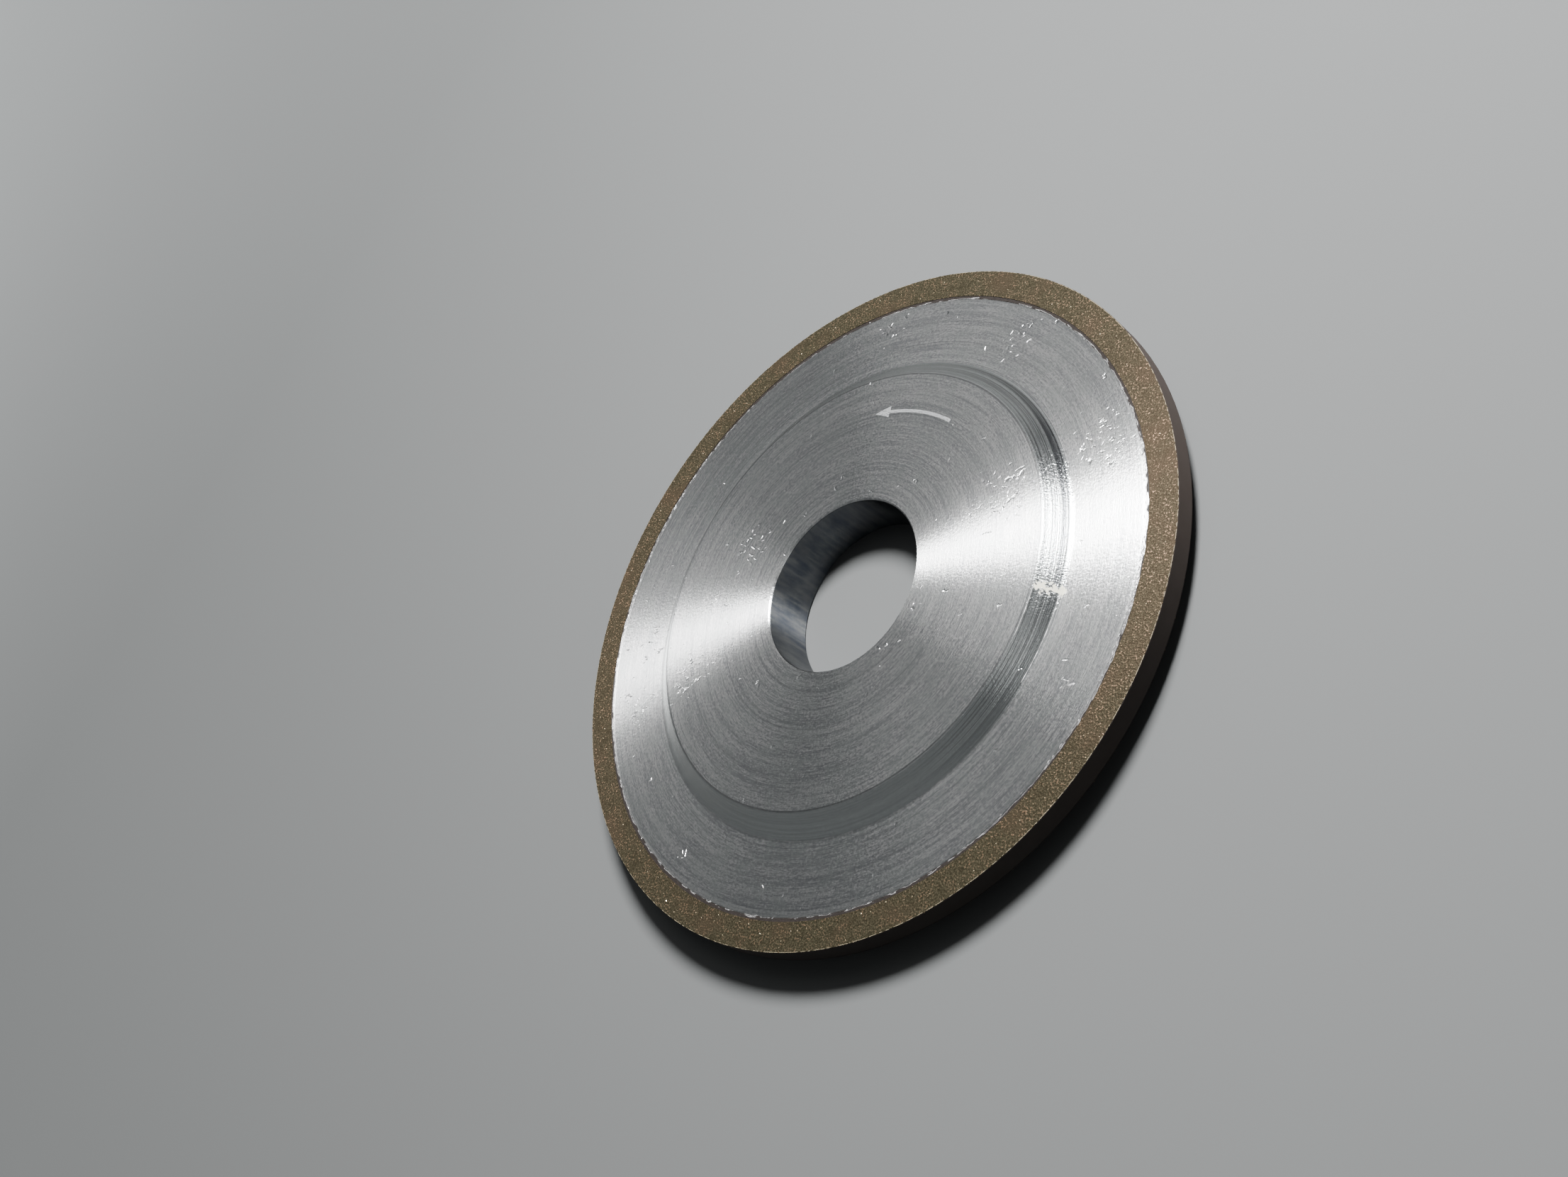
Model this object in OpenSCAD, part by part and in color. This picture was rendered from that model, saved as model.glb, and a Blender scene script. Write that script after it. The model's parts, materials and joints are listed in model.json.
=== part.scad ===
// Diamond grinding wheel with a raised hub: a turned aluminium body, a thin transition layer
// and a diamond rim with its exposed crystals.
// Z runs along the bore, from the back hub face at Z = 0 to the front hub face. Millimetres.

/* [Wheel] */
// Outside diameter of the wheel
wheel_d = 125; // [115:1:140]
// Thickness through the hub, from its back face to its front face
hub_t = 10; // [8:0.5:12]
// Thickness of the rim
rim_t = 4; // [3:0.5:6]

/* [Bore] */
// Diameter of the arbor bore
bore_d = 31.75; // [25:0.05:40]
// Chamfer at each end of the bore
bore_chamfer = 0.3; // [0.2:0.1:1]

/* [Hub] */
// Diameter of the flat seat on each side of the hub
hub_d = 81; // [60:1:84]
// Angle of the hub's flank, measured from the rim's face
flank_angle = 40; // [35:5:60]
// Radius of the fillet at the foot of the flank
foot_r = 1.5; // [0.5:0.25:1.5]
// Bevel left by breaking the turned edges
edge_break = 0.15; // [0.05:0.05:0.25]

/* [Rim] */
// Radial depth of the diamond layer
abrasive_w = 5; // [3:0.5:6]
// Radial depth of the transition layer, the bond without diamond
transition_w = 0.6; // [0.4:0.1:1]
// How far the transition layer's faces lie below the rim's faces
seam_depth = 0.08; // [0.02:0.02:0.2]

/* [Crystals] */
// Number of large crystals that stand out of each face of the rim
grains_per_face = 120; // [40:10:160]
// Size of the smallest of them, from point to point
grain_min = 0.20; // [0.15:0.05:0.25]
// Size of the largest of them
grain_max = 0.30; // [0.3:0.05:0.4]
// How far a crystal's centre lies below the face, as a share of its size
grain_sink = 0.12; // [0:0.02:0.2]
// Seed of their scatter
grain_seed = 7; // [1:1:99]

/* [Hidden] */
$fn = 180;

// Radii, from the bore outwards
bore_r = bore_d / 2;
hub_r = hub_d / 2;
wheel_r = wheel_d / 2;
abrasive_r = wheel_r - abrasive_w;
seat_r = abrasive_r - transition_w;

// Heights above the wheel's middle plane
hub_h = hub_t / 2;
rim_h = rim_t / 2;

// The fillet at the flank's foot: where its centre lies, and how many steps its arc takes
foot_corner_r = hub_r + (hub_h - rim_h) / tan(flank_angle);
foot_centre_r = foot_corner_r + foot_r * tan(flank_angle / 2);
foot_steps = 8;

// Successive crystals stand one golden angle apart, which spreads them evenly round the rim
golden_angle = 137.508;
// Clear band between the crystals' centres and the rim's inner and outer edges
grain_margin = 0.35;

// Outline of the foot fillet, from the flank to the rim's face, as [radius, height]
function foot_arc() = [
    for (i = [0:foot_steps])
        let (a = 270 - flank_angle * (1 - i / foot_steps))
            [foot_centre_r + foot_r * cos(a), rim_h + foot_r * (1 + sin(a))]
];

// Outline of the body's front half, from the bore out to the rim's seat
function front_outline() = [
    [bore_r, hub_h - bore_chamfer],
    [bore_r + bore_chamfer, hub_h],
    [hub_r - edge_break, hub_h],
    [hub_r + edge_break * cos(flank_angle), hub_h - edge_break * sin(flank_angle)],
    each foot_arc(),
    [seat_r - edge_break, rim_h],
    [seat_r, rim_h - edge_break]
];

// The same outline turned over, from the rim's seat back to the bore
function back_outline() =
    let (front = front_outline())
        [for (i = [len(front) - 1:-1:0]) [front[i][0], -front[i][1]]];

// A plain ring between two radii, level with the middle of the wheel
module ring(inner_r, outer_r, half_t, bevel) {
    translate([0, 0, hub_h])
        rotate_extrude()
            polygon([
                [inner_r, -half_t],
                [outer_r - bevel, -half_t],
                [outer_r, bevel - half_t],
                [outer_r, half_t - bevel],
                [outer_r - bevel, half_t],
                [inner_r, half_t]
            ]);
}

// One crystal: an octahedron of the given size from point to point
module crystal(size) {
    h = size / 2;
    polyhedron(
        points = [[h, 0, 0], [0, h, 0], [-h, 0, 0], [0, -h, 0], [0, 0, h], [0, 0, -h]],
        faces = [
            [0, 4, 1], [1, 4, 2], [2, 4, 3], [3, 4, 0],
            [1, 5, 0], [2, 5, 1], [3, 5, 2], [0, 5, 3]
        ]
    );
}

// The crystals of one face, scattered evenly over its area; side is 1 for the front, -1 for the back
module face_crystals(side) {
    seed = grain_seed + side;
    first_r = abrasive_r + grain_margin;
    last_r = wheel_r - grain_margin;
    share = rands(0, 1, grains_per_face, seed);
    size = rands(grain_min, grain_max, grains_per_face, seed + 10);
    lean = rands(-50, 50, grains_per_face, seed + 20);
    for (i = [0:grains_per_face - 1]) {
        r = sqrt(first_r * first_r + share[i] * (last_r * last_r - first_r * first_r));
        rotate([0, 0, golden_angle * i])
            translate([r, 0, hub_h + side * (rim_h - grain_sink * size[i])])
                rotate([lean[i], lean[grains_per_face - 1 - i], 0])
                    crystal(size[i]);
    }
}

// Turned aluminium core: bore, hubs on both sides, sloped flanks and the web that carries the rim
module wheel_body() {
    color("silver")
        translate([0, 0, hub_h])
            rotate_extrude()
                polygon([each front_outline(), each back_outline()]);
}

// Dark layer of bond without diamond, which joins the rim to the body
module transition_ring() {
    color("dimgray")
        ring(seat_r, abrasive_r, rim_h - seam_depth, 0);
}

// Bonded diamond rim, with a pocket for each large crystal
module abrasive_ring() {
    color("darkkhaki")
        difference() {
            ring(abrasive_r, wheel_r, rim_h, edge_break / 2);
            face_crystals(1);
            face_crystals(-1);
        }
}

// The large crystals that the bond holds half sunk in the faces of the rim
module diamond_grains() {
    color("lightyellow") {
        face_crystals(1);
        face_crystals(-1);
    }
}

wheel_body();
transition_ring();
abrasive_ring();
diamond_grains();
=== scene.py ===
"""Looks of the diamond grinding wheel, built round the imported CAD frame."""
import collections
import json
import math

import bpy
import numpy as np
from mathutils import Matrix, Vector


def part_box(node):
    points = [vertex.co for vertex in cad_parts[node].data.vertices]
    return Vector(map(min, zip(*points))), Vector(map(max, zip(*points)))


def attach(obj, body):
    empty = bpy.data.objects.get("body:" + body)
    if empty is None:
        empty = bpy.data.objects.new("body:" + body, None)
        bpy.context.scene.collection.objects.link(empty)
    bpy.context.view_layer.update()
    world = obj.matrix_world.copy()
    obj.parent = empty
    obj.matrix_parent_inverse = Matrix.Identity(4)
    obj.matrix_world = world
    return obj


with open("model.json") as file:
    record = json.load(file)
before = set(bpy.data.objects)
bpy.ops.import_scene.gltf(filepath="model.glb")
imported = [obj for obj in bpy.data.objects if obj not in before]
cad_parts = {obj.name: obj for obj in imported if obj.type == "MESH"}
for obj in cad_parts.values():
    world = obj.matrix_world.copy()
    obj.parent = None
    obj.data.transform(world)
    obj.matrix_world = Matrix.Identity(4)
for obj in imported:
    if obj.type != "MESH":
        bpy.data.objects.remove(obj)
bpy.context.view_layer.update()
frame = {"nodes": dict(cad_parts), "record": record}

MM = 0.001


# Sizes --------------------------------------------------------------------------------------

_, body_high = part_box("wheel_body")
_, bond_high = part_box("transition_ring")
rim_low, rim_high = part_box("abrasive_ring")
mounts = {mount["name"]: mount for mount in frame["record"]["mounts"]}
BORE_R = mounts["arbor_bore"]["dims"]["r_mm"] * MM
WHEEL_R = rim_high.x
SEAT_R = body_high.x
BOND_R = bond_high.x
HUB_Z = body_high.z
RIM_TOP = rim_high.z
RIM_BOTTOM = rim_low.z
# The hub's edge and the flank's foot
HUB_R = 40.5 * MM
FOOT_R = 44.1 * MM


# Camera -------------------------------------------------------------------------------------

# Angles are in degrees and the lens is in mm; VIEW_SIDEWAYS and VIEW_UP move the camera to the
# left and upwards in its own picture
VIEW_AZIMUTH = 68.0
VIEW_ELEVATION = 39.5
VIEW_ROLL = 57.57
VIEW_DISTANCE = 4.862 * WHEEL_R
VIEW_SIDEWAYS = 0.183 * WHEEL_R
VIEW_UP = 0.008 * WHEEL_R
LENS = 41.2
SENSOR_WIDTH = 36


def make_camera():
    """The camera at the photograph's viewing angle, rolled as the wheel leans in it."""
    azimuth = math.radians(VIEW_AZIMUTH)
    elevation = math.radians(VIEW_ELEVATION)
    back = Vector((
        math.sin(azimuth) * math.cos(elevation),
        -math.cos(azimuth) * math.cos(elevation),
        math.sin(elevation),
    ))
    level_right = Vector((math.cos(azimuth), math.sin(azimuth), 0))
    level_up = back.cross(level_right)
    roll = math.radians(VIEW_ROLL)
    right = level_right * math.cos(roll) - level_up * math.sin(roll)
    up = back.cross(right)
    target = Vector((0, 0, RIM_TOP))
    data = bpy.data.cameras.new("view")
    data.lens = LENS
    data.sensor_width = SENSOR_WIDTH
    data.clip_start = 0.01
    data.clip_end = 20
    camera = bpy.data.objects.new("view", data)
    bpy.context.scene.collection.objects.link(camera)
    turn = Matrix((right, up, back)).transposed().to_4x4()
    place = target + back * VIEW_DISTANCE - right * VIEW_SIDEWAYS + up * VIEW_UP
    camera.matrix_world = Matrix.Translation(place) @ turn
    bpy.context.scene.camera = camera


# Shader helpers -----------------------------------------------------------------------------


class Graph:
    """One material's node tree, with a short call for each kind of node that is used. Places and
    sizes in it are in millimetres."""

    def __init__(self, name):
        self.material = bpy.data.materials.new(name)
        self.material.use_nodes = True
        self.tree = self.material.node_tree
        self.tree.nodes.clear()
        output = self.tree.nodes.new("ShaderNodeOutputMaterial")
        self.shader = self.tree.nodes.new("ShaderNodeBsdfPrincipled")
        self.tree.links.new(self.shader.outputs[0], output.inputs["Surface"])
        coordinates = self.tree.nodes.new("ShaderNodeTexCoord")
        self.place = self.vector("SCALE", coordinates.outputs["Object"], scale=1 / MM)
        self.x, self.y, self.z = self.split(self.place)
        self.radius = self.math("SQRT", self.math("ADD", self.square(self.x), self.square(self.y)))
        self.cos = self.math("DIVIDE", self.x, self.radius)
        self.sin = self.math("DIVIDE", self.y, self.radius)
        middle = HUB_Z / MM / 2
        level = self.math("ABSOLUTE", self.math("SUBTRACT", self.z, middle))
        self.across = self.math("SUBTRACT", self.radius, level)
        self.front = self.math("GREATER_THAN", self.z, middle)

    def put(self, socket, value):
        """Sets a socket to a constant, or links another socket to it."""
        if isinstance(value, bpy.types.NodeSocket):
            self.tree.links.new(value, socket)
        else:
            socket.default_value = value

    def math(self, operation, *values, clamp=False):
        """The result of one sum on numbers; clamp keeps it between 0 and 1."""
        node = self.tree.nodes.new("ShaderNodeMath")
        node.operation = operation
        node.use_clamp = clamp
        for socket, value in zip(node.inputs, values):
            self.put(socket, value)
        return node.outputs[0]

    def square(self, value):
        """A number times itself."""
        return self.math("MULTIPLY", value, value)

    def vector(self, operation, a, b=None, scale=None):
        """The result of one sum on vectors, which is a number for a distance or a dot product."""
        node = self.tree.nodes.new("ShaderNodeVectorMath")
        node.operation = operation
        self.put(node.inputs[0], a)
        if b is not None:
            self.put(node.inputs[1], b)
        if scale is not None:
            self.put(node.inputs["Scale"], scale)
        return node.outputs["Value" if operation in ("DISTANCE", "DOT_PRODUCT") else "Vector"]

    def split(self, value):
        """The three parts of a vector or a colour."""
        node = self.tree.nodes.new("ShaderNodeSeparateXYZ")
        self.put(node.inputs[0], value)
        return node.outputs[0], node.outputs[1], node.outputs[2]

    def join(self, x, y, z):
        """A vector from its three parts."""
        node = self.tree.nodes.new("ShaderNodeCombineXYZ")
        for socket, value in zip(node.inputs, (x, y, z)):
            self.put(socket, value)
        return node.outputs[0]

    def remap(self, value, low, high, to_low=0.0, to_high=1.0):
        """Takes low..high to to_low..to_high with soft ends."""
        node = self.tree.nodes.new("ShaderNodeMapRange")
        node.interpolation_type = "SMOOTHSTEP"
        for socket, part in zip(node.inputs, (value, low, high, to_low, to_high)):
            self.put(socket, part)
        return node.outputs[0]

    def band(self, value, low, high, soft):
        """1 between low and high, falling to 0 over soft outside them."""
        rise = self.remap(value, low - soft, low)
        fall = self.remap(value, high, high + soft, 1.0, 0.0)
        return self.math("MULTIPLY", rise, fall)

    def noise(self, place, scale=1.0, detail=2.0, rough=0.5):
        """Smooth noise around 0.5."""
        node = self.tree.nodes.new("ShaderNodeTexNoise")
        self.put(node.inputs["Vector"], place)
        node.inputs["Scale"].default_value = scale
        node.inputs["Detail"].default_value = detail
        node.inputs["Roughness"].default_value = rough
        return node.outputs["Fac"]

    def cells(self, place, scale):
        """Voronoi cells: the distance to the nearest point, and its random colour."""
        node = self.tree.nodes.new("ShaderNodeTexVoronoi")
        self.put(node.inputs["Vector"], place)
        node.inputs["Scale"].default_value = scale
        return node.outputs

    def mix(self, factor, a, b):
        """A colour between a and b."""
        node = self.tree.nodes.new("ShaderNodeMix")
        node.data_type = "RGBA"
        colours = [socket for socket in node.inputs if socket.type == "RGBA"]
        self.put(node.inputs[0], factor)
        self.put(colours[0], a)
        self.put(colours[1], b)
        return next(socket for socket in node.outputs if socket.type == "RGBA")

    def blend(self, factor, a, b):
        """A number between a and b."""
        node = self.tree.nodes.new("ShaderNodeMix")
        node.data_type = "FLOAT"
        self.put(node.inputs[0], factor)
        self.put(node.inputs[2], a)
        self.put(node.inputs[3], b)
        return node.outputs[0]

    def bump(self, height_mm, normal=None):
        """The normal of a surface that is raised by a height in mm."""
        node = self.tree.nodes.new("ShaderNodeBump")
        node.inputs["Distance"].default_value = MM
        self.put(node.inputs["Height"], height_mm)
        if normal is not None:
            self.put(node.inputs["Normal"], normal)
        return node.outputs[0]

    def revolved_normal(self):
        """The normal of a body of revolution, and the direction round its axis: any lean of the
        mesh's own normal towards that direction is taken out."""
        geometry = self.tree.nodes.new("ShaderNodeNewGeometry")
        normal = geometry.outputs["Normal"]
        sideways = self.join(self.math("MULTIPLY", self.sin, -1.0), self.cos, 0.0)
        lean = self.vector("DOT_PRODUCT", normal, sideways)
        off = self.vector("SCALE", sideways, scale=lean)
        return self.vector("NORMALIZE", self.vector("SUBTRACT", normal, off)), sideways

    def total(self, *values):
        """The sum of some values."""
        result = values[0]
        for value in values[1:]:
            result = self.math("ADD", result, value)
        return result

    def weighted(self, *terms):
        """The sum of some values, each given with its weight."""
        return self.total(*[self.math("MULTIPLY", value, weight) for value, weight in terms])

    def set(self, **inputs):
        """Sets the shader's own sockets; an underscore in a name stands for a space."""
        for name, value in inputs.items():
            self.put(self.shader.inputs[name.replace("_", " ")], value)
        return self.material


def rgb(red, green, blue):
    """An opaque linear colour."""
    return (red, green, blue, 1.0)


# Materials ----------------------------------------------------------------------------------

# Linear colours of aluminium: between its turning marks and on them, in patches, on the flank, in
# painted shade and grooves, in nicks, in painted shade on the bore's wall, where it is frosted,
# smeared over the seam, and in burrs
DULL_ALUMINIUM = rgb(0.46, 0.465, 0.475)
BRIGHT_ALUMINIUM = rgb(0.80, 0.795, 0.785)
PATCH_ALUMINIUM = rgb(0.60, 0.63, 0.61)
FLANK_ALUMINIUM = rgb(0.48, 0.505, 0.50)
SHADE_AND_GROOVE = rgb(0.10, 0.105, 0.11)
NICK = rgb(0.3, 0.31, 0.32)
# The bore's wall, painted dark for the shade inside the bore
BORE_SHADE_DARK = rgb(0.055, 0.063, 0.08)
BORE_SHADE_PALE = rgb(0.14, 0.145, 0.145)
FROSTED = rgb(0.50, 0.51, 0.52)
SMEAR_DARK = rgb(0.30, 0.295, 0.30)
SMEAR_PALE = rgb(0.66, 0.65, 0.65)
BURR_DARK = rgb(0.42, 0.42, 0.43)
BURR_PALE = rgb(0.68, 0.67, 0.66)
# Grinding paste that has dried on the flank
DRIED_PASTE = rgb(0.44, 0.42, 0.33)
# The dark bond at the seam
SEAM_DARK = rgb(0.006, 0.0055, 0.005)
SEAM_PALE = rgb(0.018, 0.015, 0.014)
# The rim: its bond, with clumps, clouds, bronze and a painted edge highlight, its sheen, and its
# outside
BOND_DARK = rgb(0.0095, 0.0087, 0.0052)
BOND_PALE = rgb(0.0245, 0.0225, 0.0142)
CLUMP = rgb(0.009, 0.0084, 0.0050)
CLOUD = rgb(0.020, 0.0152, 0.0099)
BRONZE = rgb(0.14, 0.090, 0.057)
EDGE_HIGHLIGHT = rgb(0.15, 0.13, 0.09)
COPPER_SHEEN = rgb(1.0, 0.60, 0.42)
OUTSIDE_DARK = rgb(0.016, 0.0155, 0.015)
OUTSIDE_PALE = rgb(0.022, 0.021, 0.0205)
BACK_EDGE = rgb(0.008, 0.008, 0.009)
# Large crystals, and the small grains between them
CRYSTAL_DARK = rgb(0.30, 0.22, 0.12)
CRYSTAL_PALE = rgb(0.62, 0.52, 0.34)
GRAIN_DARK = rgb(0.03, 0.021, 0.012)
GRAIN_PALE = rgb(0.16, 0.12, 0.07)
# The floor near the wheel, away from it and far off, and the room
FLOOR_NEAR = rgb(0.050, 0.052, 0.052)
FLOOR_AWAY = rgb(0.21, 0.22, 0.22)
FLOOR_FAR = rgb(0.78, 0.80, 0.80)
ROOM = rgb(0.30, 0.31, 0.315)


def turning(graph, pitch, length, seed):
    """Noise drawn out round the wheel, as a lathe tool leaves it: pitch is the width in mm across
    the marks, and length their length in mm."""
    place = graph.join(
        graph.math("MULTIPLY_ADD", graph.x, 1 / length, seed),
        graph.math("MULTIPLY", graph.y, 1 / length),
        graph.math("MULTIPLY", graph.across, 1 / pitch),
    )
    return graph.noise(place, detail=1.0)


# The two coordinates in mm of the sheet that marks are scattered on
Sheet = collections.namedtuple("Sheet", "x y")


def marks(graph, sheet, angle, length, width, share, seed):
    """Scattered oblong marks, 1 at their middle and 0 outside them: angle is their heading in
    degrees, length and width are in mm, and share is the part of the places that holds one."""
    turn = math.radians(angle)
    u = graph.total(
        graph.math("MULTIPLY", sheet.x, math.cos(turn) / length),
        graph.math("MULTIPLY", sheet.y, math.sin(turn) / length),
    )
    v = graph.total(
        graph.math("MULTIPLY", sheet.x, -math.sin(turn) / width),
        graph.math("MULTIPLY", sheet.y, math.cos(turn) / width),
    )
    cells = graph.cells(graph.join(u, v, seed), scale=0.5)
    chance, size, _ = graph.split(cells["Color"])
    least, spread = 0.15, 0.3
    reach = graph.math("MULTIPLY_ADD", size, spread, least)
    shape = graph.remap(graph.math("DIVIDE", cells["Distance"], reach), 0.0, 1.0, 1.0, 0.0)
    return graph.math("MULTIPLY", shape, graph.math("LESS_THAN", chance, share))


# Where the nicks crowd on the front: the angle in degrees and the radius in mm of the middle of
# each group, and its radius in mm
NICK_GROUPS = (
    (28, 33.5, 6.5), (30, 51, 6.5), (66, 51, 5), (162, 26, 5), (206, 50.5, 5.5), (194, 47, 5),
    (210, 34, 6), (100, 53, 4), (352, 18.5, 2.5), (344, 51, 1.8), (247, 53, 1.8), (322, 20, 2.5),
)


def nick_groups(graph):
    """1 or more inside the groups of nicks on the front, falling to 0 at their rims."""
    groups = []
    for degrees, radius, reach in NICK_GROUPS:
        angle = math.radians(degrees)
        middle = (radius * math.cos(angle), radius * math.sin(angle), 0)
        away = graph.vector("DISTANCE", graph.join(graph.x, graph.y, 0.0), middle)
        groups.append(graph.remap(away, reach * 0.6, reach, 1.0, 0.0))
    return graph.total(*groups)


def nicks(graph):
    """Nicks that handling has left in the turned faces, as a depth from 0 to 1."""
    bend = 1.8
    crooked = graph.noise(graph.place, scale=0.9, detail=1.0)
    warp = graph.math("MULTIPLY_ADD", crooked, bend, -bend / 2)
    bent = Sheet(graph.total(graph.x, warp), graph.math("SUBTRACT", graph.y, warp))
    long_marks = marks(graph, bent, angle=42, length=1.5, width=0.5, share=0.6, seed=3.0)
    short_marks = marks(graph, bent, angle=-5, length=0.8, width=0.45, share=0.45, seed=11.0)
    lone_marks = marks(graph, bent, angle=30, length=0.9, width=0.45, share=0.035, seed=7.0)
    dense = graph.total(long_marks, short_marks)
    front = graph.math("MULTIPLY", nick_groups(graph), graph.front)
    patches = graph.noise(graph.join(graph.x, graph.y, 0.0), scale=0.07, detail=2.0)
    behind = graph.math("SUBTRACT", 1.0, graph.front)
    back = graph.math("MULTIPLY", graph.remap(patches, 0.53, 0.6), behind)
    return graph.total(graph.math("MULTIPLY", dense, graph.total(front, back)), lone_marks)


# The arrow, in mm and degrees: the radius that it follows, the angle where its tail starts, the
# lengths of its shaft and head, half the widths of its line and head, and how fast the head narrows
ARROW_R = 33.0
ARROW_TAIL = 66
ARROW_SHAFT = 15.0
ARROW_HEAD = 3.2
ARROW_HALF_LINE = 0.24
ARROW_HALF_HEAD = 1.1
ARROW_NARROWING = 0.34


def rotation_arrow(graph):
    """A plain frosted arrow on the hub that shows which way the wheel turns."""
    angle = graph.math("ARCTAN2", graph.y, graph.x)
    along = graph.math("MULTIPLY_ADD", angle, ARROW_R, -ARROW_R * math.radians(ARROW_TAIL))
    aside = graph.math("ABSOLUTE", graph.math("SUBTRACT", graph.radius, ARROW_R))
    line = graph.remap(aside, ARROW_HALF_LINE, ARROW_HALF_LINE + 0.1, 1.0, 0.0)
    shaft = graph.math("MULTIPLY", graph.band(along, 0.0, ARROW_SHAFT, 0.1), line)
    past_shaft = graph.math("SUBTRACT", along, ARROW_SHAFT)
    slope = graph.math("MULTIPLY_ADD", past_shaft, -ARROW_NARROWING, ARROW_HALF_HEAD)
    inside = graph.remap(graph.math("SUBTRACT", slope, aside), -0.05, 0.05)
    head = graph.band(along, ARROW_SHAFT, ARROW_SHAFT + ARROW_HEAD, 0.05)
    head = graph.math("MULTIPLY", head, inside)
    speckle = graph.remap(graph.noise(graph.place, scale=4.0), 0.35, 0.6, 0.2, 0.8)
    shape = graph.math("MULTIPLY", graph.math("MAXIMUM", shaft, head), speckle)
    return graph.math("MULTIPLY", shape, graph.front)


def residue(graph):
    """A dab of dried cream-coloured grinding paste across the flank, with a ragged outline."""
    angle = graph.math("ARCTAN2", graph.y, graph.x)
    along = graph.math("MULTIPLY", angle, FOOT_R / MM)
    wander = 3.2
    rough_edge = graph.noise(graph.place, scale=1.6, detail=3.0)
    ragged = graph.math("MULTIPLY_ADD", rough_edge, wander, -wander / 2)
    length = graph.remap(graph.math("ABSOLUTE", graph.total(along, ragged)), 0.4, 0.8, 1.0, 0.0)
    across = graph.band(graph.total(graph.radius, ragged), HUB_R / MM + 0.3, FOOT_R / MM + 0.4, 0.3)
    return graph.math("MULTIPLY", length, graph.math("MULTIPLY", across, graph.front))


Zones = collections.namedtuple("Zones", "flank bore rim_band torn_side worn_side")
# The angle of the middle of the side that the tool tore, and of the flank's painted shade over its
# highlight
TORN_WAY = math.radians(20)


def body_zones(graph):
    """Parts of the body, each 1 inside and 0 outside: the flank, the bore's wall, the band beside
    the seam, the side of the front where the tool tore the metal, and the narrower side where the
    flank's highlight falls and gets painted shade."""
    facing = graph.math("MULTIPLY", graph.cos, math.cos(TORN_WAY))
    facing = graph.math("MULTIPLY_ADD", graph.sin, math.sin(TORN_WAY), facing)
    bore, seat = BORE_R / MM, SEAT_R / MM
    return Zones(
        flank=graph.band(graph.radius, HUB_R / MM, FOOT_R / MM, 0.1),
        bore=graph.remap(graph.radius, bore + 0.02, bore + 0.08, 1.0, 0.0),
        rim_band=graph.remap(graph.radius, seat - 0.55, seat - 0.35),
        torn_side=graph.math("MULTIPLY", graph.remap(facing, 0.30, 0.8), graph.front),
        # The narrow side where the flank's highlight falls, which gets painted shade
        worn_side=graph.math("MULTIPLY", graph.remap(facing, 0.86, 0.98), graph.front),
    )


Cuts = collections.namedtuple("Cuts", "grain hair streak broad rings lines chatter sand")


def tool_cuts(graph):
    """The marks of turning, from fine grain to broad bands, and a sandy texture without direction."""
    return Cuts(
        grain=turning(graph, pitch=0.18, length=0.8, seed=3.1),
        hair=turning(graph, pitch=0.17, length=2.2, seed=17.7),
        streak=turning(graph, pitch=0.4, length=10.0, seed=29.3),
        broad=turning(graph, pitch=2.6, length=60.0, seed=41.3),
        rings=turning(graph, pitch=0.45, length=90.0, seed=63.7),
        lines=turning(graph, pitch=0.36, length=60.0, seed=71.2),
        chatter=turning(graph, pitch=0.55, length=0.28, seed=53.9),
        sand=graph.noise(graph.place, scale=2.3, detail=2.0),
    )


def painted_shade_and_grooves(graph, zones, cuts):
    """How dark the painted shade and the grooves are: painted shade along the hub's edge, on both
    sides of the flank's foot and over the flank where its highlight falls, and dark scores round the
    axis and tool lines on the flank."""
    hub, foot = HUB_R / MM, FOOT_R / MM
    # Painted shade: a dark line along the hub's edge and dark bands on both sides of the flank's foot
    edge = graph.band(graph.radius, hub - 0.28, hub - 0.12, 0.12)
    inner_foot = graph.band(graph.radius, foot - 1.1, foot - 0.5, 0.25)
    outer_foot = graph.band(graph.radius, foot + 0.15, foot + 0.4, 0.15)
    scores = graph.remap(cuts.rings, 0.30, 0.38, 1.0, 0.0)
    lines = graph.math("MULTIPLY", graph.remap(cuts.lines, 0.40, 0.52, 1.0, 0.0), zones.flank)
    line_shade = graph.math("MULTIPLY_ADD", zones.torn_side, 0.42, 0.08)
    shade = graph.weighted(
        (edge, 0.55),
        (graph.math("MULTIPLY", inner_foot, zones.torn_side), 0.28),
        (outer_foot, 0.25),
        (scores, 0.12),
        (lines, line_shade),
        # Painted shade that dims the flank where its highlight falls
        (graph.math("MULTIPLY", zones.flank, zones.worn_side), 0.4),
    )
    return graph.math("MULTIPLY", shade, 1.0, clamp=True)


def turned_colour(graph, zones, cuts, tone, pits):
    """Grey aluminium, from dull to bright with its turning marks, greener in patches and on the
    flank, dark with painted shade at the hub's edge, round the flank's foot and over the flank's
    highlight, dark in its grooves and a little dark in its nicks."""
    colour = graph.mix(graph.remap(tone, 0.41, 0.59), DULL_ALUMINIUM, BRIGHT_ALUMINIUM)
    patches = graph.noise(graph.place, scale=0.35, detail=2.0)
    colour = graph.mix(graph.remap(patches, 0.35, 0.65, 0.0, 0.4), colour, PATCH_ALUMINIUM)
    colour = graph.mix(graph.math("MULTIPLY", zones.flank, 0.8), colour, FLANK_ALUMINIUM)
    # Painted shade at the hub's edge, round the flank's foot and over the flank's highlight, with the
    # dark grooves
    colour = graph.mix(painted_shade_and_grooves(graph, zones, cuts), colour, SHADE_AND_GROOVE)
    return graph.mix(graph.math("MULTIPLY", pits, 0.25, clamp=True), colour, NICK)


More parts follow.
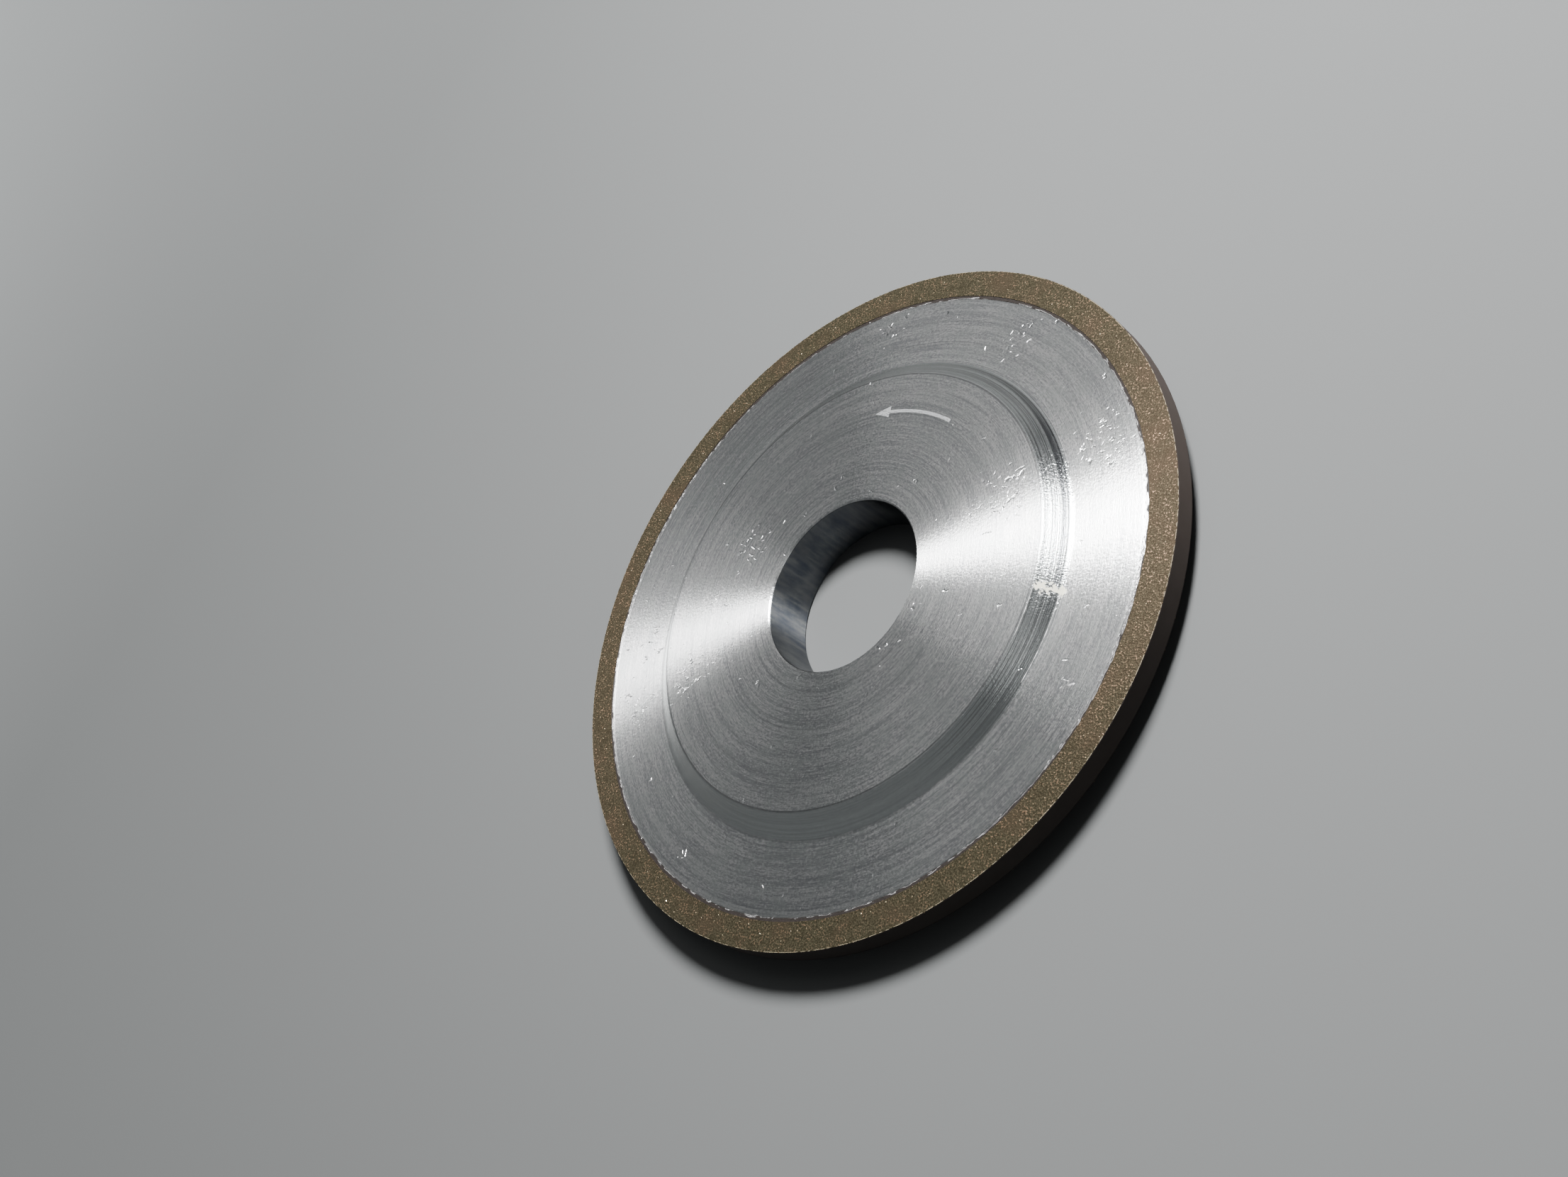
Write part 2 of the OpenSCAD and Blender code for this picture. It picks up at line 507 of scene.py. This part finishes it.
def bore_painted_shade(graph):
    """The bore wall, dark grey to bluish grey as painted shade, clouded and streaked along the bore.
    """
    along_bore = graph.join(graph.x, graph.y, graph.math("MULTIPLY", graph.z, 0.16))
    drag = graph.noise(along_bore, scale=1.3)
    cloud = graph.noise(graph.place, scale=0.25, detail=3.0)
    cloud = graph.math("MULTIPLY_ADD", drag, 0.8, graph.math("MULTIPLY_ADD", cloud, 0.6, -0.2))
    return graph.mix(graph.remap(cloud, 0.2, 0.8), BORE_SHADE_DARK, BORE_SHADE_PALE)


def turned_height(graph, zones, cuts, pits):
    """The height of the turned surface in mm: its marks, the flank's chatter, nicks and specks."""
    foot = FOOT_R / MM
    flat = Sheet(graph.x, graph.y)
    specks = marks(graph, flat, angle=20, length=0.3, width=0.26, share=0.06, seed=31.0)
    rungs = graph.band(graph.radius, foot - 1.5, foot - 0.3, 0.3)
    rattle = graph.math("MAXIMUM", rungs, graph.math("MULTIPLY", zones.flank, zones.torn_side))
    jolt = graph.blend(zones.torn_side, 0.012, 0.024)
    height = graph.weighted(
        (cuts.grain, 0.019),
        (cuts.sand, 0.016),
        (cuts.hair, 0.016),
        (graph.math("MULTIPLY", cuts.chatter, rattle), jolt),
        (graph.math("MULTIPLY", cuts.lines, zones.flank), 0.06),
        (pits, -0.06),
        (specks, 0.012),
    )
    return graph.math("MULTIPLY", height, graph.blend(zones.bore, 1.0, 0.3))


def streaked_normal(graph, normal, around, hair):
    """The normal, swayed to and fro round the axis by the finest marks."""
    sway = 0.05
    amount = graph.math("MULTIPLY_ADD", hair, sway, -sway / 2)
    swayed = graph.vector("ADD", normal, graph.vector("SCALE", around, scale=amount))
    return graph.vector("NORMALIZE", swayed)


def turned_aluminium():
    """Lathe-turned aluminium: fine tool marks round the axis that draw the highlights out along
    the radius, a smoother bore, a chattered flank, nicks and an etched arrow."""
    graph = Graph("turned_aluminium")
    normal, around = graph.revolved_normal()
    zones = body_zones(graph)
    cuts = tool_cuts(graph)
    pits = nicks(graph)
    arrow = rotation_arrow(graph)
    dab = residue(graph)

    tone = graph.weighted(
        (cuts.grain, 0.24),
        (cuts.sand, 0.24),
        (cuts.hair, 0.10),
        (cuts.streak, 0.20),
        (cuts.rings, 0.12),
        (cuts.broad, 0.10),
    )
    colour = turned_colour(graph, zones, cuts, tone, pits)
    # Painted shade on the bore's wall
    colour = graph.mix(zones.bore, colour, bore_painted_shade(graph))
    colour = graph.mix(arrow, colour, FROSTED)
    colour = graph.mix(dab, colour, DRIED_PASTE)

    rough = graph.blend(graph.remap(tone, 0.3, 0.7), 0.265, 0.245)
    rough = graph.blend(zones.rim_band, rough, 0.3)
    rough = graph.blend(zones.flank, rough, 0.235)
    rough = graph.blend(graph.math("MAXIMUM", arrow, dab), rough, 0.6)
    coated = graph.math("MULTIPLY_ADD", arrow, 0.3, dab)
    height = turned_height(graph, zones, cuts, pits)
    return graph.set(
        Base_Color=colour,
        Metallic=graph.math("SUBTRACT", 1.0, coated, clamp=True),
        Roughness=rough,
        Anisotropic=1.0,
        Tangent=graph.vector("CROSS_PRODUCT", normal, around),
        Normal=graph.bump(height, normal=streaked_normal(graph, normal, around, cuts.hair)),
    )


def transition_bond():
    """The dark bond at the seam, with aluminium smeared over its inner part, most at the two sides
    along x."""
    graph = Graph("transition_bond")
    normal, around = graph.revolved_normal()
    torn = turning(graph, pitch=0.2, length=0.5, seed=5.5)
    smear = turning(graph, pitch=0.3, length=2.0, seed=9.5)
    sides = graph.square(graph.square(graph.cos))
    reach = graph.math("MULTIPLY_ADD", smear, 1.2, SEAT_R / MM - 0.65)
    reach = graph.math("MULTIPLY_ADD", sides, 0.4, reach)
    metal = graph.remap(graph.math("SUBTRACT", reach, graph.radius), -0.08, 0.08)
    dark = graph.mix(torn, SEAM_DARK, SEAM_PALE)
    bright = graph.mix(torn, SMEAR_DARK, SMEAR_PALE)
    height = graph.math("MULTIPLY", torn, 0.04)
    return graph.set(
        Base_Color=graph.mix(metal, dark, bright),
        Metallic=metal,
        Roughness=graph.blend(metal, 0.6, 0.3),
        Specular_IOR_Level=0.1,
        Anisotropic=1.0,
        Tangent=graph.vector("CROSS_PRODUCT", normal, around),
        Normal=graph.bump(height, normal=normal),
    )


def ground_bond(graph, grit, clumps, shows):
    """Colour of the rim's ground faces: olive bond with dark clumps and brown clouds, bronze where
    it shows, and a painted highlight along the outer edge, broken into chips."""
    bond = graph.mix(graph.remap(grit, 0.35, 0.65), BOND_DARK, BOND_PALE)
    bond = graph.mix(graph.remap(clumps, 0.5, 0.3, 0.0, 0.6), bond, CLUMP)
    broad = graph.noise(graph.place, scale=0.12, detail=2.0)
    bond = graph.mix(graph.remap(broad, 0.48, 0.68, 0.0, 0.6), bond, CLOUD)
    ground = graph.mix(shows, bond, BRONZE)
    # Painted highlight along the outer edge, broken into chips
    edge_highlight = graph.remap(graph.radius, WHEEL_R / MM - 0.19, WHEEL_R / MM - 0.11)
    chips = graph.remap(turning(graph, pitch=0.3, length=0.7, seed=13.1), 0.42, 0.55)
    edge_highlight = graph.math("MULTIPLY", edge_highlight, chips)
    return graph.mix(graph.math("MULTIPLY", edge_highlight, 0.8), ground, EDGE_HIGHLIGHT)


def outside_skin(graph):
    """Colour of the rim's smooth outside, nearly black, darkest along its back edge."""
    skin = graph.noise(graph.place, scale=0.4, detail=3.0)
    dark = graph.mix(skin, OUTSIDE_DARK, OUTSIDE_PALE)
    back = RIM_BOTTOM / MM
    back_edge = graph.remap(graph.z, back + 0.15, back + 0.3, 1.0, 0.0)
    return graph.mix(back_edge, dark, BACK_EDGE)


def bonded_abrasive():
    """Bronze-filled bond packed with diamond: fine-grained on the ground faces, with a painted
    highlight along their outer edge, smooth and nearly black on the outside."""
    graph = Graph("bonded_abrasive")
    normal, around = graph.revolved_normal()
    outside = graph.remap(graph.radius, WHEEL_R / MM - 0.06, WHEEL_R / MM - 0.03)
    grit = graph.noise(graph.place, scale=3.0, detail=2.0, rough=0.6)
    clumps = graph.noise(graph.place, scale=0.8, detail=3.0, rough=0.6)
    shows = graph.remap(graph.math("MULTIPLY_ADD", clumps, 0.4, grit), 0.80, 0.92)
    colour = graph.mix(outside, ground_bond(graph, grit, clumps, shows), outside_skin(graph))
    relief = graph.math("MULTIPLY", grit, graph.blend(outside, 0.11, 0.002))
    metal = graph.math("MULTIPLY_ADD", shows, 0.75, 0.2)
    return graph.set(
        Base_Color=colour,
        Metallic=graph.math("MULTIPLY", metal, graph.math("SUBTRACT", 1.0, outside)),
        Roughness=graph.blend(outside, 0.52, 0.7),
        Specular_IOR_Level=0.13,
        Specular_Tint=COPPER_SHEEN,
        Anisotropic=0.56,
        Tangent=graph.vector("CROSS_PRODUCT", normal, around),
        Normal=graph.bump(relief, normal=normal),
    )


def diamond():
    """Pale yellow crystal faces."""
    graph = Graph("diamond_crystal")
    tint = graph.noise(graph.place, scale=0.9)
    colour = graph.mix(tint, CRYSTAL_DARK, CRYSTAL_PALE)
    frost = graph.noise(graph.place, scale=6.0)
    return graph.set(
        Base_Color=colour,
        Metallic=0.6,
        Roughness=graph.blend(frost, 0.1, 0.3),
    )


def grit_metal():
    """The fine diamond and bronze grains that stand out of the bond."""
    graph = Graph("grit")
    tint = graph.noise(graph.place, scale=1.7)
    colour = graph.mix(graph.remap(tint, 0.35, 0.65), GRAIN_DARK, GRAIN_PALE)
    return graph.set(Base_Color=colour, Metallic=0.8, Roughness=graph.blend(tint, 0.3, 0.5))


def torn_aluminium():
    """Bright burrs that the tool or a knock has raised."""
    graph = Graph("torn_aluminium")
    tint = graph.noise(graph.place, scale=2.0)
    colour = graph.mix(tint, BURR_DARK, BURR_PALE)
    height = graph.math("MULTIPLY", graph.noise(graph.place, scale=9.0), 0.03)
    return graph.set(Base_Color=colour, Metallic=1.0, Roughness=0.5, Normal=graph.bump(height))


def floor_paint():
    """Matt grey paint, paler away from the wheel where the lights reach less."""
    graph = Graph("floor_paint")
    away = graph.remap(graph.radius, 100.0, 1000.0)
    far = graph.remap(graph.radius, 700.0, 2200.0)
    colour = graph.mix(far, graph.mix(away, FLOOR_NEAR, FLOOR_AWAY), FLOOR_FAR)
    return graph.set(Base_Color=colour, Roughness=0.9)


def paint(piece, material):
    """Gives a piece one material."""
    piece.data.materials.clear()
    piece.data.materials.append(material)


# Studio -------------------------------------------------------------------------------------

# Each light: the way to it from the wheel, its distance and diameter in metres, and its watts
LIGHTS = {
    "key": (Vector((0.178, 0.541, 0.822)), 0.5, 0.152, 20.0),
    "halo": (Vector((-0.048, 0.432, 0.901)), 0.9, 0.7, 1.80),
    "side": (Vector((-0.410, 0.748, 0.522)), 0.9, 0.7, 0.56),
    "front": (Vector((-0.364, 0.281, 0.888)), 0.9, 0.7, 0.30),
    "low": (Vector((0.945, -0.170, 0.280)), 1.4, 0.7, 2.8),
}
# The light for the far part of the floor: its place, and the way that its back faces
FLOOR_LIGHT_PLACE = Vector((-0.35, 0.10, 0.90))
FLOOR_LIGHT_BACK = Vector((0.95, -0.30, 0.10))


def make_floor(material):
    """A plain grey floor under the wheel."""
    mesh = bpy.data.meshes.new("floor")
    reach = 6.0
    corners = [(-reach, -reach, 0), (reach, -reach, 0), (reach, reach, 0), (-reach, reach, 0)]
    mesh.from_pydata(corners, [], [(0, 1, 2, 3)])
    floor = bpy.data.objects.new("floor", mesh)
    bpy.context.scene.collection.objects.link(floor)
    paint(floor, material)


def make_light(name, place, back, across, watts):
    """A round soft light at a place in metres; back is the way that its back faces."""
    data = bpy.data.lights.new(name, "AREA")
    data.shape = "DISK"
    data.size = across
    data.energy = watts
    light = bpy.data.objects.new(name, data)
    bpy.context.scene.collection.objects.link(light)
    light.location = place
    light.rotation_euler = back.to_track_quat("Z", "Y").to_euler()


def make_lights():
    """The lights that look at the wheel, and one that faces away from it, over the far floor."""
    for name, (toward, distance, across, watts) in LIGHTS.items():
        make_light(name, toward.normalized() * distance, toward, across, watts)
    make_light("floor_wash", FLOOR_LIGHT_PLACE, FLOOR_LIGHT_BACK, across=0.5, watts=35.0)


def make_world():
    """A grey room round the wheel."""
    world = bpy.data.worlds.new("room")
    world.use_nodes = True
    background = world.node_tree.nodes["Background"]
    background.inputs["Color"].default_value = ROOM
    background.inputs["Strength"].default_value = 0.57
    bpy.context.scene.world = world


# Pieces -------------------------------------------------------------------------------------


def make_piece(name, points, faces, material):
    """One mesh piece that rides on the wheel."""
    mesh = bpy.data.meshes.new(name)
    mesh.from_pydata([tuple(point) for point in points], [], [tuple(face) for face in faces])
    mesh.update()
    piece = bpy.data.objects.new(name, mesh)
    bpy.context.scene.collection.objects.link(piece)
    paint(piece, material)
    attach(piece, "root")
    return piece


def outward_at(angle):
    """The way out from the axis at an angle."""
    return np.array([math.cos(angle), math.sin(angle), 0])


def around_at(angle):
    """The way round the axis at an angle."""
    return np.array([-math.sin(angle), math.cos(angle), 0])


def scattered(rng, count, low_r, high_r):
    """Places spread evenly over the area between two radii, as radius and angle."""
    share = rng.uniform(0, 1, count)
    radius = np.sqrt(low_r**2 + share * (high_r**2 - low_r**2))
    return radius, rng.uniform(0, math.tau, count)


def random_turns(rng, count):
    """Rotation matrices with no preferred direction."""
    w, x, y, z = (rng.normal(size=(count, 4))).T
    size = np.sqrt(w * w + x * x + y * y + z * z)
    w, x, y, z = w / size, x / size, y / size, z / size
    rows = [
        [1 - 2 * (y * y + z * z), 2 * (x * y - z * w), 2 * (x * z + y * w)],
        [2 * (x * y + z * w), 1 - 2 * (x * x + z * z), 2 * (y * z - x * w)],
        [2 * (x * z - y * w), 2 * (y * z + x * w), 1 - 2 * (x * x + y * y)],
    ]
    return np.array(rows).transpose(2, 0, 1)


# Corners and faces of the shape that each grain has before it is squashed and turned
OCTAHEDRON = np.array([(1, 0, 0), (0, 1, 0), (-1, 0, 0), (0, -1, 0), (0, 0, 1), (0, 0, -1)])
OCTAHEDRON_FACES = np.array([
    (0, 1, 4), (1, 2, 4), (2, 3, 4), (3, 0, 4),
    (1, 0, 5), (2, 1, 5), (3, 2, 5), (0, 3, 5),
])


# The number of small grains on each face of the rim, and along each of its outer edges
FACE_GRAINS = 2200
EDGE_GRAINS = 420


def fine_grit(material):
    """Small grains half sunk in both faces of the rim and along its outer edges."""
    rng = np.random.default_rng(11)
    places = []
    for height, side in ((RIM_TOP, 1), (RIM_BOTTOM, -1)):
        radius, angle = scattered(rng, FACE_GRAINS, BOND_R + 0.1 * MM, WHEEL_R - 0.12 * MM)
        edge_angle = rng.uniform(0, math.tau, EDGE_GRAINS)
        edge_radius = WHEEL_R - rng.uniform(0.03, 0.12, EDGE_GRAINS) * MM
        radius = np.concatenate([radius, edge_radius])
        angle = np.concatenate([angle, edge_angle])
        level = np.full(len(radius), height - side * 0.03 * MM)
        level[-EDGE_GRAINS:] -= side * rng.uniform(0, 0.05, EDGE_GRAINS) * MM
        places.append(np.stack([radius * np.cos(angle), radius * np.sin(angle), level], 1))
    places = np.concatenate(places)
    count = len(places)
    half = rng.uniform(0.045, 0.10, count)[:, None, None] * MM
    squash = rng.uniform(0.7, 1.0, (count, 1, 3))
    turns = random_turns(rng, count)
    points = places[:, None] + np.einsum("nij,nkj->nki", turns, OCTAHEDRON * squash * half)
    faces = OCTAHEDRON_FACES + len(OCTAHEDRON) * np.arange(count)[:, None, None]
    return make_piece("fine_grit", points.reshape(-1, 3), faces.reshape(-1, 3), material)


# The way out of the front face, and how many cross-sections a ridge has along its length
FACE_UP = np.array([0, 0, 1])
STATIONS = 5


def ridge(centre, along, up, length, width, height, bend):
    """A low curved ridge, nearly pointed at both ends. Each of its stations along the length has a
    left foot, a crest and a right foot."""
    aside = np.cross(up, along)
    points = []
    for step in range(STATIONS):
        share = step / (STATIONS - 1) - 0.5
        swell = 1 - (2 * share) ** 2 * 0.9
        middle = centre + along * share * length + aside * bend * length * (0.25 - share**2)
        foot = up * height * 0.3
        points.append(middle + aside * width / 2 * swell - foot)
        points.append(middle + up * height * swell)
        points.append(middle - aside * width / 2 * swell - foot)
    last = 3 * (STATIONS - 1)
    faces = [(0, 1, 2), (last, last + 2, last + 1)]
    for step in range(STATIONS - 1):
        a = 3 * step
        faces += [(a, a + 3, a + 4, a + 1), (a + 1, a + 4, a + 5, a + 2), (a + 2, a + 5, a + 3, a)]
    return points, faces


def chain(rng, x, y, level, heading, count, size):
    """A crooked row of ridges that follow each other, as a slipped tool leaves them. The start, x
    and y, and the size are in mm, the heading in radians."""
    ridges = []
    for _ in range(count):
        turn = heading + rng.normal(0, 0.5)
        length = size * rng.uniform(0.6, 1.3)
        along = outward_at(turn)
        centre = np.array([x, y, 0]) * MM + along * length / 2 * MM + np.array([0, 0, level])
        ridges.append(ridge(
            centre, along, FACE_UP,
            length=length * MM,
            width=rng.uniform(0.3, 0.5) * MM,
            height=rng.uniform(0.06, 0.10) * MM,
            bend=rng.normal(0, 0.4),
        ))
        x += math.cos(turn) * length * 0.8 + rng.normal(0, 0.08)
        y += math.sin(turn) * length * 0.8 + rng.normal(0, 0.08)
    return ridges


def ridges_piece(name, ridges, material):
    """Joins ridges into one piece."""
    points, faces = [], []
    for ridge_points, ridge_faces in ridges:
        first = len(points)
        points += ridge_points
        faces += [tuple(first + corner for corner in face) for face in ridge_faces]
    return make_piece(name, points, faces, material)


# The number of places on each face where a sliver can lie over the seam
SEAM_PLACES = 300


def seam_burrs(material):
    """Slivers of aluminium smeared over the seam between the body and the dark bond; most lie at
    the two sides along x."""
    rng = np.random.default_rng(5)
    ridges = []
    for side, level in ((1, RIM_TOP), (-1, RIM_BOTTOM)):
        for _ in range(SEAM_PLACES):
            angle = rng.uniform(0, math.tau)
            least = 0.15
            chance = least + (1 - least) * abs(math.cos(angle)) ** 5
            if rng.uniform() > chance:
                continue
            outward = outward_at(angle)
            lean = rng.normal(0, 0.25)
            along = around_at(angle) * math.cos(lean) + outward * math.sin(lean)
            centre = outward * (SEAT_R + rng.normal(0, 0.09) * MM)
            centre[2] = level - side * 0.01 * MM
            ridges.append(ridge(
                centre, along, side * FACE_UP,
                length=rng.uniform(0.25, 0.9) * MM,
                width=rng.uniform(0.10, 0.18) * MM,
                height=rng.uniform(0.05, 0.11) * MM,
                bend=rng.normal(0, 0.3),
            ))
    return ridges_piece("seam_burrs", ridges, material)


# Rows of nicks on the front: the angle and radius where each one starts, its heading in degrees,
# the number of its nicks and their size in mm
NICK_ROWS = (
    (24.0, 31.0, 12, 4, 0.7), (26.0, 34.0, 60, 4, 0.6), (29.0, 37.0, 42, 3, 0.7),
    (17.0, 29.0, 10, 4, 0.6), (31.0, 46.5, 65, 4, 0.6), (25.5, 48.5, 10, 5, 0.5),
    (343.0, 52.0, 28, 2, 0.7), (207.0, 51.5, 55, 4, 0.6), (209.5, 49.5, 60, 4, 0.6),
    (211.0, 52.0, 35, 3, 0.6), (226.5, 51.0, 60, 2, 0.7), (248.5, 53.0, 95, 3, 0.6),
    (214.0, 38.5, 40, 4, 0.6), (208.5, 33.5, 45, 2, 0.6), (64.0, 51.0, 35, 3, 0.5),
)


# On the back, each group of nicks lies at this angle less its angle on the front, in degrees
BACK_ANGLE = 77


def nick_level(away, side):
    """The height of the face at a radius in mm; None near an edge or on the flank."""
    if BORE_R / MM + 1.2 < away < HUB_R / MM - 0.6:
        return HUB_Z if side > 0 else 0
    if FOOT_R / MM + 1.2 < away < SEAT_R / MM - 0.6:
        return RIM_TOP if side > 0 else RIM_BOTTOM
    return None


def group_ridges(rng, side, degrees, radius, reach):
    """Ridges scattered round the middle of one group of nicks."""
    angle = math.radians(degrees if side > 0 else BACK_ANGLE - degrees)
    middle = np.array([math.cos(angle), math.sin(angle)]) * radius
    ridges = []
    for _ in range(int(reach * 2)):
        x, y = middle + rng.normal(0, reach / 2, 2)
        level = nick_level(math.hypot(x, y), side)
        if level is None:
            continue
        along = outward_at(rng.normal(0.7, 0.5))
        centre = np.array([x * MM, y * MM, level])
        ridges.append(ridge(
            centre, along, side * FACE_UP,
            length=rng.uniform(0.3, 0.9) * MM,
            width=rng.uniform(0.16, 0.34) * MM,
            height=rng.uniform(0.03, 0.06) * MM,
            bend=rng.normal(0, 0.5),
        ))
    return ridges


def nick_burrs(material):
    """Lips of metal that knocks have raised beside the nicks, front and back."""
    rng = np.random.default_rng(23)
    ridges = []
    for side in (1, -1):
        for group in NICK_GROUPS:
            ridges += group_ridges(rng, side, *group)
    for degrees, radius, heading, count, size in NICK_ROWS:
        angle = math.radians(degrees)
        x, y = radius * math.cos(angle), radius * math.sin(angle)
        level = HUB_Z if radius < HUB_R / MM else RIM_TOP
        ridges += chain(rng, x, y, level, math.radians(heading), count, size)
    return ridges_piece("nick_burrs", ridges, material)


# Each lip on the flank: its radius, and the angles in degrees where it starts and ends
LIPS = ((FOOT_R - 0.25 * MM, -20, -3), (HUB_R + 0.12 * MM, -12, -2))
# A lip is a row of ridges, one every this many degrees, each a little longer than its step
LIP_STEP = 2.4
LIP_RIDGE = 2.6


def flank_lips(material):
    """Thin raised lips that the tool left along the flank's foot and along the hub's edge."""
    rng = np.random.default_rng(31)
    ridges = []
    rise = (HUB_Z - RIM_TOP) / (FOOT_R - HUB_R)
    length = LIP_RIDGE * FOOT_R * math.radians(1)
    for radius, first, last in LIPS:
        level = HUB_Z - (radius - HUB_R) * rise
        for degrees in np.arange(first, last, LIP_STEP):
            angle = math.radians(degrees + LIP_STEP / 2)
            centre = outward_at(angle) * radius
            centre[2] = level
            ridges.append(ridge(
                centre, around_at(angle), FACE_UP,
                length=length,
                width=rng.uniform(0.12, 0.18) * MM,
                height=rng.uniform(0.05, 0.09) * MM,
                bend=0.0,
            ))
    return ridges_piece("flank_lips", ridges, material)


# Building -----------------------------------------------------------------------------------

make_camera()
make_floor(floor_paint())
make_world()
make_lights()

nodes = frame["nodes"]
paint(nodes["wheel_body"], turned_aluminium())
paint(nodes["transition_ring"], transition_bond())
paint(nodes["abrasive_ring"], bonded_abrasive())
paint(nodes["diamond_grains"], diamond())
fine_grit(grit_metal())
burr_metal = torn_aluminium()
seam_burrs(burr_metal)
nick_burrs(burr_metal)
flank_lips(burr_metal)
